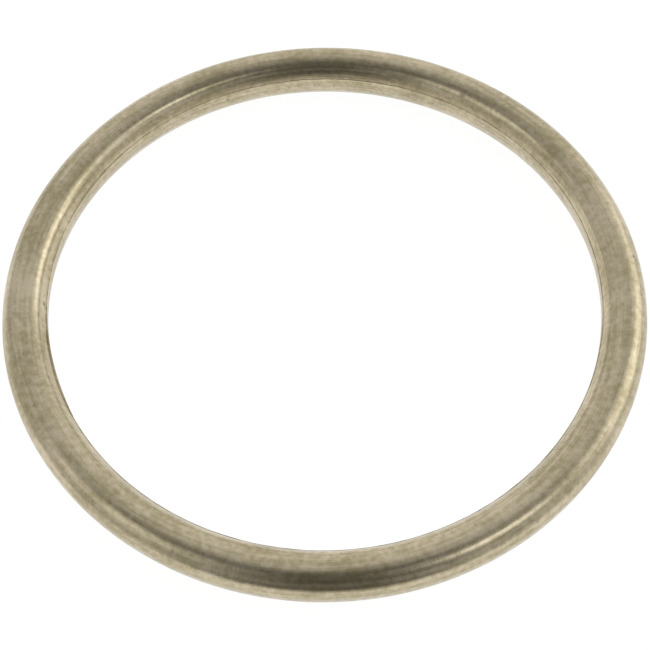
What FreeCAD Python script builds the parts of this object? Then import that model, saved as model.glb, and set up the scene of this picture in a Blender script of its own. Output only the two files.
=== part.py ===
# Exhaust pipe gasket: a hollow ring rolled from one strip of steel sheet.
#
# The strip is curled into a closed section. Its crown is round on the outside of the ring,
# slopes gently towards the bore and turns down there over a tight shoulder. Below it are
# barrelled sides and a narrow flat seat. The strip's two long edges meet on the bore side:
# the end of the crown is tucked in, and the leg that comes up from the seat laps over it.
# The leg's end stands up straight and is the wall that a pipe passes through.
#
# Millimetres. +Z is the axis of the ring, and the origin is the middle of the surface
# that the ring lies on.

import FreeCAD, Part
import math
import os
from FreeCAD import Vector

# Sizes of the ring
bore_diameter = 65.8
section_width = 5.2
section_height = 6.35

# Sizes of the strip and of its bends
sheet_thickness = 0.25
crown_radius = 2.3
crown_slope_radius = 7.5
shoulder_radius = 0.5
shoulder_side_radius = 9.0
seat_width = 0.8
seat_bend_radius = 1.0

# Sizes of the lapped seam on the bore side
lap_gap = 0.05
leg_rise = 0.3
tuck_length = 1.6

# What follows from those sizes
bore_radius = bore_diameter / 2
outer_radius = bore_radius + section_width
middle_radius = (bore_radius + outer_radius) / 2
lap_step = sheet_thickness + lap_gap
widest_level = section_height - crown_radius

# A side bend is upright at the widest level and runs smoothly into the bend at the seat
side_run = (section_width - seat_width) / 2
side_rise = widest_level - seat_bend_radius
side_radius = (side_run**2 + side_rise**2 - seat_bend_radius**2) / (2 * (side_run - seat_bend_radius))
side_angle = math.degrees(math.asin(side_rise / (side_radius - seat_bend_radius)))
tuck_angle = math.degrees(tuck_length / (side_radius - lap_step))

# The shoulder touches two larger bends: the crown's slope, which is level at the top, and
# its bore side, which is upright at the widest level
slope_reach = crown_slope_radius - shoulder_radius
side_reach = shoulder_side_radius - shoulder_radius
slope_centre = (outer_radius - crown_radius, section_height - crown_slope_radius)
shoulder_side_centre = (bore_radius + lap_step + shoulder_side_radius, widest_level)
centres_apart = math.dist(slope_centre, shoulder_side_centre)
centres_lean = math.atan2(
    shoulder_side_centre[1] - slope_centre[1], shoulder_side_centre[0] - slope_centre[0]
)
lean_from_slope = math.acos(
    (centres_apart**2 + slope_reach**2 - side_reach**2) / (2 * centres_apart * slope_reach)
)
slope_end = math.degrees(centres_lean + lean_from_slope)
shoulder_centre = (
    slope_centre[0] + slope_reach * math.cos(math.radians(slope_end)),
    slope_centre[1] + slope_reach * math.sin(math.radians(slope_end)),
)
shoulder_end = math.degrees(
    math.atan2(
        shoulder_centre[1] - shoulder_side_centre[1], shoulder_centre[0] - shoulder_side_centre[0]
    )
)


def point(radius, level):
    """A point of the section, at a distance from the axis and a height above the seat."""
    return Vector(radius, 0, level)


def bend(centre, radius, start, end):
    """An arc of the section about a centre, from one angle to another, in degrees."""
    stops = [math.radians(angle) for angle in (start, (start + end) / 2, end)]
    reach = [Vector(math.cos(stop), 0, math.sin(stop)) * radius for stop in stops]
    return Part.Arc(centre + reach[0], centre + reach[1], centre + reach[2]).toShape()


def strip_face(inset):
    """The strip's path from the tucked end to the top of the leg, at a depth in the sheet."""
    crown_centre = point(outer_radius - crown_radius, widest_level)
    outer_side_centre = point(outer_radius - side_radius, widest_level)
    bore_side_centre = point(bore_radius + side_radius, widest_level)
    outer_seat_centre = point(middle_radius + seat_width / 2, seat_bend_radius)
    bore_seat_centre = point(middle_radius - seat_width / 2, seat_bend_radius)

    tuck = bend(bore_side_centre, side_radius - lap_step - inset, 180 + tuck_angle, 180)
    shoulder_side = bend(point(*shoulder_side_centre), shoulder_side_radius - inset, 180, shoulder_end)
    shoulder = bend(point(*shoulder_centre), shoulder_radius - inset, shoulder_end, slope_end)
    slope = bend(point(*slope_centre), crown_slope_radius - inset, slope_end, 90)
    crown = bend(crown_centre, crown_radius - inset, 90, 0)
    outer_side = bend(outer_side_centre, side_radius - inset, 0, -side_angle)
    outer_seat = bend(outer_seat_centre, seat_bend_radius - inset, -side_angle, -90)
    seat = Part.makeLine(
        point(middle_radius + seat_width / 2, inset),
        point(middle_radius - seat_width / 2, inset),
    )
    bore_seat = bend(bore_seat_centre, seat_bend_radius - inset, -90, -180 + side_angle)
    bore_side = bend(bore_side_centre, side_radius - inset, -180 + side_angle, -180)
    leg = Part.makeLine(
        point(bore_radius + inset, widest_level),
        point(bore_radius + inset, widest_level + leg_rise),
    )
    crown_edges = [tuck, shoulder_side, shoulder, slope, crown]
    return crown_edges + [outer_side, outer_seat, seat, bore_seat, bore_side, leg]


def edge_of_strip(outer_edge, inner_edge, end):
    """The cut edge of the sheet that joins its two faces at one end of the path."""
    return Part.makeLine(outer_edge.Vertexes[end].Point, inner_edge.Vertexes[end].Point)


def gasket_ring():
    """The whole gasket: the strip's section turned once round the axis."""
    outside = strip_face(0)
    inside = strip_face(sheet_thickness)
    tucked_edge = edge_of_strip(outside[0], inside[0], 0)
    leg_edge = edge_of_strip(outside[-1], inside[-1], -1)
    outline = Part.Wire(Part.sortEdges(outside + [leg_edge] + inside + [tucked_edge])[0])
    return Part.Face(outline).revolve(Vector(0, 0, 0), Vector(0, 0, 1), 360)


os.makedirs("parts", exist_ok=True)
gasket_ring().exportStep("parts/gasket_ring.step")
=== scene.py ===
# An exhaust gasket lying on a white table: a hollow ring of bent sheet steel, satin and
# lightly tarnished, with a lapped seam on its bore side.
#
# Lengths are in metres. The ring's axis is Z and it lies on the plane Z = 0.

import math

import bmesh
import bpy
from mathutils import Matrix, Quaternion, Vector, noise


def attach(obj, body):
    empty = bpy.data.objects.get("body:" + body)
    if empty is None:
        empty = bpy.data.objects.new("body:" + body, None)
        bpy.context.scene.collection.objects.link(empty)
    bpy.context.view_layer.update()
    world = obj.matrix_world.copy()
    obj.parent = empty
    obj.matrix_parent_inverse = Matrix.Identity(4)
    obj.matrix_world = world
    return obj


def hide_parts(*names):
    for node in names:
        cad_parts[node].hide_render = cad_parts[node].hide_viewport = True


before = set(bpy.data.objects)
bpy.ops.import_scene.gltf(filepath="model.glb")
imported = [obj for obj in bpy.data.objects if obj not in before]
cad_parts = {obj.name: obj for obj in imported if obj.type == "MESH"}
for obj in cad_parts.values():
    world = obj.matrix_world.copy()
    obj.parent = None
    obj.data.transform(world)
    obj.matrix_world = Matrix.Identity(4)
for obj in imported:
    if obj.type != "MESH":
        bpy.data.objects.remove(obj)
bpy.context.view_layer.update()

# The ring
#
# One strip of thin sheet steel, rolled into a closed hollow section and bent round into a
# ring. The crown turns down over a rounded shoulder on the bore side and its edge is tucked
# in there, behind the leg that comes up from the seat and ends in a sheared edge.

mm = 0.001
bore_radius = 32.9 * mm
section_width = 5.2 * mm
section_height = 6.35 * mm
sheet_thickness = 0.25 * mm
crown_radius = 2.3 * mm
crown_slope_radius = 4.2 * mm
shoulder_radius = 1.6 * mm
shoulder_side_radius = 8.0 * mm
shoulder_side_lean = 20
seat_width = 0.8 * mm
seat_bend_radius = 1.0 * mm
lap_gap = 0.05 * mm
leg_rise = 0.3 * mm
leg_edge = 0.15 * mm
edge_round = 0.06 * mm
tuck_length = 1.6 * mm
seam_inset = 0.04 * mm
seam_drop = 0.05 * mm
weld_reach = 0.001 * mm
slices_round_ring = 600

outer_radius = bore_radius + section_width
middle_radius = bore_radius + section_width / 2
lap_step = sheet_thickness + lap_gap
widest_level = section_height - crown_radius
leg_top = widest_level + leg_rise
side_run = (section_width - seat_width) / 2
side_rise = widest_level - seat_bend_radius
side_radius = (side_run**2 + side_rise**2 - seat_bend_radius**2) / (2 * (side_run - seat_bend_radius))
side_angle = math.degrees(math.asin(side_rise / (side_radius - seat_bend_radius)))
tuck_angle = math.degrees(tuck_length / (side_radius - lap_step))

crown_centre = Vector((outer_radius - crown_radius, 0, widest_level))
slope_centre = Vector((outer_radius - crown_radius, 0, section_height - crown_slope_radius))
outer_side_centre = Vector((outer_radius - side_radius, 0, widest_level))
bore_side_centre = Vector((bore_radius + side_radius, 0, widest_level))
outer_seat_centre = Vector((middle_radius + seat_width / 2, 0, seat_bend_radius))
bore_seat_centre = Vector((middle_radius - seat_width / 2, 0, seat_bend_radius))
lip_centre = Vector((bore_radius + edge_round, 0, leg_top - edge_round))


def direction(degrees):
    """The direction in the section at an angle above level, away from the axis."""
    return Vector((math.cos(math.radians(degrees)), 0, math.sin(math.radians(degrees))))


# The shoulder touches the crown's slope and its own side, which leans down to the seam. The
# seam lies just under the leg's edge, so that no gap shows there.

seam = Vector((bore_radius + seam_inset, 0, leg_top - seam_drop))
shoulder_side_centre = seam + direction(-shoulder_side_lean) * shoulder_side_radius
slope_reach = crown_slope_radius - shoulder_radius
side_reach = shoulder_side_radius - shoulder_radius
between = shoulder_side_centre - slope_centre
lean_from_slope = math.acos(
    (between.length**2 + slope_reach**2 - side_reach**2) / (2 * between.length * slope_reach)
)
slope_end = math.degrees(math.atan2(between.z, between.x) + lean_from_slope)
shoulder_centre = slope_centre + direction(slope_end) * slope_reach
from_side = shoulder_centre - shoulder_side_centre
slope_turn = slope_end - 90
side_turn = 180 - shoulder_side_lean - math.degrees(math.atan2(from_side.z, from_side.x))
shoulder_turn = 90 - shoulder_side_lean - slope_turn - side_turn

strip = bmesh.new()
looseness = strip.verts.layers.float.new("looseness")
start = bore_side_centre + direction(180 + tuck_angle) * (side_radius - lap_step)
tip = bmesh.ops.create_vert(strip, co=start)["vert"][0]


def bend(centre, degrees, steps):
    """Carries the section on along an arc, clockwise as seen with the axis on the left."""
    global tip
    turn = math.radians(degrees)
    arc = bmesh.ops.spin(strip, geom=[tip], cent=centre, axis=(0, 1, 0), angle=turn, steps=steps)
    tip = [part for part in arc["geom_last"] if isinstance(part, bmesh.types.BMVert)][0]


def run(outwards, upwards):
    """Carries the section on along a straight line."""
    global tip
    tip = bmesh.ops.extrude_vert_indiv(strip, verts=[tip])["verts"][0]
    bmesh.ops.translate(strip, verts=[tip], vec=(outwards, 0, upwards))


# The outside face of the sheet, from the tucked edge to the top of the leg
bend(bore_side_centre, tuck_angle, 3)
run(seam.x - tip.co.x, seam.z - tip.co.z)
bend(shoulder_side_centre, side_turn, 8)
bend(shoulder_centre, shoulder_turn, 12)
bend(slope_centre, slope_turn, 10)
bend(crown_centre, 90, 22)
bend(outer_side_centre, side_angle, 12)
bend(outer_seat_centre, 90 - side_angle, 7)
run(-seat_width, 0)
bend(bore_seat_centre, 90 - side_angle, 7)
crown_and_seat = set(strip.verts)
bend(bore_side_centre, side_angle, 14)
run(0, (leg_rise - edge_round) / 2)
run(0, (leg_rise - edge_round) / 2)
bend(lip_centre, 90, 3)
leg_face = [vert for vert in strip.verts if vert not in crown_and_seat]

# The sheared edge, and the inside face back to the tucked edge
edge_flat = leg_edge - 2 * edge_round
run(edge_flat, 0)
bend(lip_centre + Vector((edge_flat, 0, 0)), 90, 3)
run(sheet_thickness - leg_edge, edge_round - leg_rise)
bend(bore_side_centre, -side_angle, 10)
bend(bore_seat_centre, side_angle - 90, 4)
run(seat_width, 0)
bend(outer_seat_centre, side_angle - 90, 4)
bend(outer_side_centre, -side_angle, 5)
bend(crown_centre, -90, 8)
bend(slope_centre, -slope_turn, 4)
bend(shoulder_centre, -shoulder_turn, 5)
bend(shoulder_side_centre, -side_turn, 3)
run(start.x - tip.co.x, start.z - tip.co.z)

# The leg's face is free to move, most at its top
loose_length = 2.3 * mm
for vert in leg_face:
    vert[looseness] = max(1 - (leg_top - vert.co.z) / loose_length, 0) ** 2

bmesh.ops.remove_doubles(strip, verts=strip.verts, dist=weld_reach)
bmesh.ops.spin(
    strip,
    geom=strip.verts[:] + strip.edges[:],
    cent=(0, 0, 0),
    axis=(0, 0, 1),
    angle=math.tau,
    steps=slices_round_ring,
    use_merge=True,
)
bmesh.ops.recalc_face_normals(strip, faces=strip.faces)

# The leg's end wanders a little along its edge and is sprung towards the bore for a short
# way at the left. The whole skin has the slight dents and waves of rolled sheet.

sprung_middle = math.radians(198)
sprung_half_length = math.radians(13)
sprung_depth = 0.14 * mm
sprung_bluntness = 0.6
wander = 0.03 * mm
wander_pace = 9
edge_wave = 0.05 * mm
edge_wave_pace = 21
dent_depth = 0.022 * mm
dent_size = 3.5 * mm
dent_width_to_height = 2
skin_ease = 0.012 * mm

strip.normal_update()
moves = []
for vert in strip.verts:
    radius = math.hypot(vert.co.x, vert.co.y)
    outwards = Vector((vert.co.x / radius, vert.co.y / radius, 0))
    around = math.atan2(vert.co.y, vert.co.x) % math.tau
    on_skin = Vector((vert.co.x, vert.co.y, vert.co.z * dent_width_to_height))
    dent = 0.5 + 0.5 * noise.noise(on_skin / dent_size)
    off_middle = (around - sprung_middle) / sprung_half_length
    sprung = max(1 - off_middle**2, 0) ** sprung_bluntness
    wave = 0.5 + 0.5 * noise.noise(outwards * wander_pace)
    move = -vert.normal * (skin_ease + dent_depth * dent)
    move -= outwards * vert[looseness] * (sprung * sprung_depth + wave * wander)
    move.z += vert[looseness] * edge_wave * noise.noise(outwards * edge_wave_pace)
    moves.append((vert, move))
for vert, move in moves:
    vert.co += move

for face in strip.faces:
    face.smooth = True
ring_mesh = bpy.data.meshes.new("gasket_ring_sheet")
strip.to_mesh(ring_mesh)
strip.free()
ring = bpy.data.objects.new("gasket_ring_sheet", ring_mesh)
bpy.context.scene.collection.objects.link(ring)

steel = bpy.data.materials.new("satin_sheet_steel")
steel.use_nodes = True
nodes = steel.node_tree.nodes
links = steel.node_tree.links
shader = nodes["Principled BSDF"]
shader.inputs["Metallic"].default_value = 1.0


def node(kind, **settings):
    """A node of the tree in hand, with its settings and what goes into its sockets."""
    new = nodes.new(kind)
    for name, value in settings.items():
        if name != "sockets":
            setattr(new, name, value)
    for socket, value in settings.get("sockets", {}).items():
        if isinstance(value, bpy.types.NodeSocket):
            links.new(value, new.inputs[socket])
        else:
            new.inputs[socket].default_value = value
    return new


def maths(operation, first, second=0.0, third=0.0):
    """The result of one sum."""
    return node("ShaderNodeMath", operation=operation, sockets={0: first, 1: second, 2: third}).outputs[0]


def blend(amount, share, rest):
    """An amount times its share, on top of the rest."""
    return maths("MULTIPLY_ADD", amount, share, rest)


def vector_maths(operation, sockets):
    """One sum on vectors."""
    return node("ShaderNodeVectorMath", operation=operation, sockets=sockets).outputs


def ramp(value, none_at, full_at, top=1.0):
    """Goes from 0 to the top while a value goes from one limit to the other."""
    limits = {"Value": value, "From Min": none_at, "From Max": full_at, "To Max": top}
    return node("ShaderNodeMapRange", sockets=limits).outputs[0]


def mottling(where, scale, detail, roughness=0.5):
    """Irregular light and dark, from 0 to 1."""
    sockets = {"Vector": where, "Scale": scale, "Detail": detail, "Roughness": roughness}
    return node("ShaderNodeTexNoise", sockets=sockets).outputs["Fac"]


def colour_between(share, first, second):
    """The first colour, going over to the second as the share goes from 0 to 1."""
    sockets = {"Factor": share, 6: first, 7: second}
    return node("ShaderNodeMix", data_type="RGBA", sockets=sockets).outputs[2]


place = node("ShaderNodeTexCoord").outputs["Object"]
across, along, up = node("ShaderNodeSeparateXYZ", sockets={0: place}).outputs
flat = node("ShaderNodeCombineXYZ", sockets={0: across, 1: along}).outputs[0]
from_axis = vector_maths("LENGTH", {0: flat})["Value"]
outwards = vector_maths("NORMALIZE", {0: flat})[0]


def drawn_out(pace, pace_round_ring):
    """Places for marks that are long round the ring and narrow across the sheet."""
    sockets = {
        0: blend(from_axis, pace, maths("MULTIPLY", across, pace_round_ring)),
        1: blend(up, pace, maths("MULTIPLY", along, pace_round_ring)),
        2: maths("MULTIPLY", maths("SUBTRACT", across, along), pace_round_ring),
    }
    return node("ShaderNodeCombineXYZ", sockets=sockets).outputs[0]


# Fine lines round the ring from rolling and polishing, broader streaks that run the same
# way, and short fine marks across the sheet from bending it round
line_places = drawn_out(pace=9000, pace_round_ring=160)
streak_places = drawn_out(pace=2400, pace_round_ring=70)
cross_places = vector_maths("SCALE", {0: outwards, "Scale": 90.0})[0]
lines = mottling(line_places, scale=1.0, detail=3.0)
streaks = mottling(streak_places, scale=1.0, detail=4.0, roughness=0.6)
cross_marks = mottling(cross_places, scale=1.0, detail=4.0, roughness=0.7)

# Tarnish in soft clouds and in small specks
clouds = mottling(place, scale=130.0, detail=5.0, roughness=0.62)
specks = mottling(place, scale=1500.0, detail=2.0, roughness=0.6)

clean_colour = (0.61, 0.53, 0.38, 1)
tarnished_colour = (0.375, 0.325, 0.195, 1)
tarnish = blend(specks, 0.9, blend(streaks, 0.8, blend(lines, 0.4, clouds)))
tarnished = ramp(tarnish, none_at=1.3, full_at=1.8)
colour = colour_between(tarnished, clean_colour, tarnished_colour)

# Pits, small stains and a nick at the seam: where each one is and how far it reaches, in
# millimetres, and how dark it is. Their outlines are ragged.
marks = (
    ((36.9, 2.1, 6.0), 0.30, 0.8),
    ((37.2, 1.7, 5.8), 0.25, 0.7),
    ((18.6, 28.2, 5.8), 0.60, 0.5),
    ((-12.5, 30.5, 3.3), 0.35, 0.7),
    ((-1.6, -37.4, 5.6), 0.60, 0.4),
    ((-24.8, -27.7, 5.9), 0.25, 0.5),
    ((-16.0, -33.3, 6.0), 0.25, 0.5),
    ((15.2, -31.1, 6.1), 0.25, 0.6),
    ((21.8, -30.6, 5.5), 0.25, 0.5),
    ((-33.1, -2.3, 4.7), 0.40, 0.8),
    ((-32.9, -2.7, 4.3), 0.30, 0.8),
    ((12.7, 30.4, 3.6), 1.60, 0.2),
    ((15.9, 28.8, 4.1), 1.60, 0.2),
)
raggedness = 0.6 * mm
stain = 0.0
for middle, reach, depth in marks:
    from_middle = vector_maths("DISTANCE", {0: place, 1: Vector(middle) * mm})["Value"]
    ragged = blend(specks, raggedness, from_middle)
    rim = reach * mm + raggedness / 2
    heart = 0.2 * reach * mm + raggedness / 3
    spot = ramp(ragged, none_at=rim, full_at=heart, top=depth)
    stain = maths("MAXIMUM", spot, stain)

# A thin broken line of dirt low on the bore side, at the back
dirt_level = 3.0 * mm
dirt_depth = 0.7
off_level = maths("ABSOLUTE", maths("SUBTRACT", up, dirt_level))
thin = ramp(off_level, none_at=0.10 * mm, full_at=0.03 * mm)
at_back = ramp(along, none_at=18 * mm, full_at=26 * mm)
on_bore = maths("LESS_THAN", from_axis, middle_radius)
broken = ramp(cross_marks, none_at=0.45, full_at=0.60)
dirt = maths("MULTIPLY", maths("MULTIPLY", thin, at_back), maths("MULTIPLY", on_bore, broken))
stain = maths("MAXIMUM", maths("MULTIPLY", dirt, dirt_depth), stain)

stain_colour = (0.13, 0.10, 0.055, 1)
links.new(colour_between(stain, colour, stain_colour), shader.inputs["Base Color"])

polish = 0.17
roughness = blend(stain, 0.25, blend(clouds, 0.12, blend(streaks, 0.10, polish)))
links.new(roughness, shader.inputs["Roughness"])

relief_height = 0.02 * mm
relief_strength = 0.4
relief = blend(cross_marks, 0.8, blend(specks, 0.4, blend(lines, 0.5, streaks)))
relief = blend(stain, -1.5, relief)
bump = node(
    "ShaderNodeBump",
    sockets={"Strength": relief_strength, "Distance": relief_height, "Height": relief},
)
links.new(bump.outputs[0], shader.inputs["Normal"])
ring_mesh.materials.append(steel)

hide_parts("gasket_ring")
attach(ring, "root")

# The table
#
# A smooth white surface, wide enough to fill the views from above. Where it is looked at,
# or mirrored in the steel, it is mostly an even glow, so that it reads as white. The rest
# of it is lit by the room and takes the ring's faint shadow.

table_half_width = 3.0
table_white = (0.85, 0.85, 0.85, 1)
table_roughness = 0.9
table_sheen = 0.1
glow_share = 0.85
glow_strength = 1.12

table_sheet = bmesh.new()
bmesh.ops.create_grid(table_sheet, x_segments=1, y_segments=1, size=table_half_width)
table_mesh = bpy.data.meshes.new("table")
table_sheet.to_mesh(table_mesh)
table_sheet.free()
table = bpy.data.objects.new("table", table_mesh)
bpy.context.scene.collection.objects.link(table)

white = bpy.data.materials.new("white_table")
white.use_nodes = True
nodes = white.node_tree.nodes
links = white.node_tree.links
shader = nodes["Principled BSDF"]
shader.inputs["Base Color"].default_value = table_white
shader.inputs["Roughness"].default_value = table_roughness
shader.inputs["Specular IOR Level"].default_value = table_sheen
rays = node("ShaderNodeLightPath").outputs
mirrored = maths("MAXIMUM", rays["Is Glossy Ray"], rays["Is Transmission Ray"])
seen = maths("MAXIMUM", rays["Is Camera Ray"], mirrored)
glow = node("ShaderNodeEmission", sockets={"Strength": glow_strength}).outputs[0]
layers = {0: maths("MULTIPLY", seen, glow_share), 1: shader.outputs[0], 2: glow}
surface = node("ShaderNodeMixShader", sockets=layers)
links.new(surface.outputs[0], nodes["Material Output"].inputs["Surface"])
table_mesh.materials.append(white)

# The surroundings
#
# A pale room that is dark overhead towards the camera and low behind it, with five soft
# lamps: at the right, low at the back on the right, at the left in front, at the right in
# front, and low across the back.

room_level = 0.64
dark_level = 0.06

# The direction of each dark place, and how many degrees from it the dark ends and is full
dark_places = (
    ((0, -0.37, 0.93), 53, 12),
    ((0, -0.99, 0.04), 44, 2),
)

# The direction of each lamp, how tight its light is, and its strength
lamps = (
    ((0.81, 0.27, 0.52), 20.0, 1.6),
    ((0.72, 0.60, 0.34), 20.0, 0.35),
    ((-0.55, -0.27, 0.79), 30.0, 1.2),
    ((0.45, -0.27, 0.85), 80.0, 2.4),
    ((0, 0.94, 0.34), 6.0, 0.35),
)

world = bpy.data.worlds.new("studio")
world.use_nodes = True
bpy.context.scene.world = world
nodes = world.node_tree.nodes
links = world.node_tree.links
towards = node("ShaderNodeTexCoord").outputs["Generated"]


def facing(given):
    """How nearly a direction of the room lines up with the one given, from -1 to 1."""
    return vector_maths("DOT_PRODUCT", {0: towards, 1: Vector(given).normalized()})["Value"]


darkness = 0.0
for middle, edge, core in dark_places:
    dark = node(
        "ShaderNodeMapRange",
        interpolation_type="SMOOTHSTEP",
        sockets={
            "Value": facing(middle),
            "From Min": math.cos(math.radians(edge)),
            "From Max": math.cos(math.radians(core)),
        },
    ).outputs[0]
    darkness = maths("MAXIMUM", dark, darkness)
light = blend(darkness, dark_level - room_level, room_level)
for middle, tightness, strength in lamps:
    lobe = maths("EXPONENT", blend(facing(middle), tightness, -tightness))
    light = blend(lobe, strength, light)
links.new(light, nodes["Background"].inputs["Strength"])
nodes["Background"].inputs["Color"].default_value = (1, 1, 1, 1)

# The camera
#
# It looks down at the ring as the photograph does: its place, lens and tilt were fitted to
# the ring's two outlines.

camera_distance = 0.13131
camera_elevation = 57.17
camera_lens = 60.767
camera_sensor = 36
camera_tilt = -1.0
camera_target = Vector((0.00002, -0.00547, 0.00405))
nearest_seen = 0.01

elevation = math.radians(camera_elevation)
towards_camera = Vector((0, -math.cos(elevation), math.sin(elevation)))
camera_data = bpy.data.cameras.new("camera")
camera_data.lens = camera_lens
camera_data.sensor_width = camera_sensor
camera_data.clip_start = nearest_seen
camera = bpy.data.objects.new("camera", camera_data)
camera.location = towards_camera * camera_distance + Vector((0, 0, widest_level))
aim = (camera_target - camera.location).to_track_quat("-Z", "Y")
camera.rotation_mode = "QUATERNION"
camera.rotation_quaternion = aim @ Quaternion((0, 0, 1), math.radians(camera_tilt))
bpy.context.scene.collection.objects.link(camera)
bpy.context.scene.camera = camera

bpy.context.scene.view_settings.view_transform = "Standard"
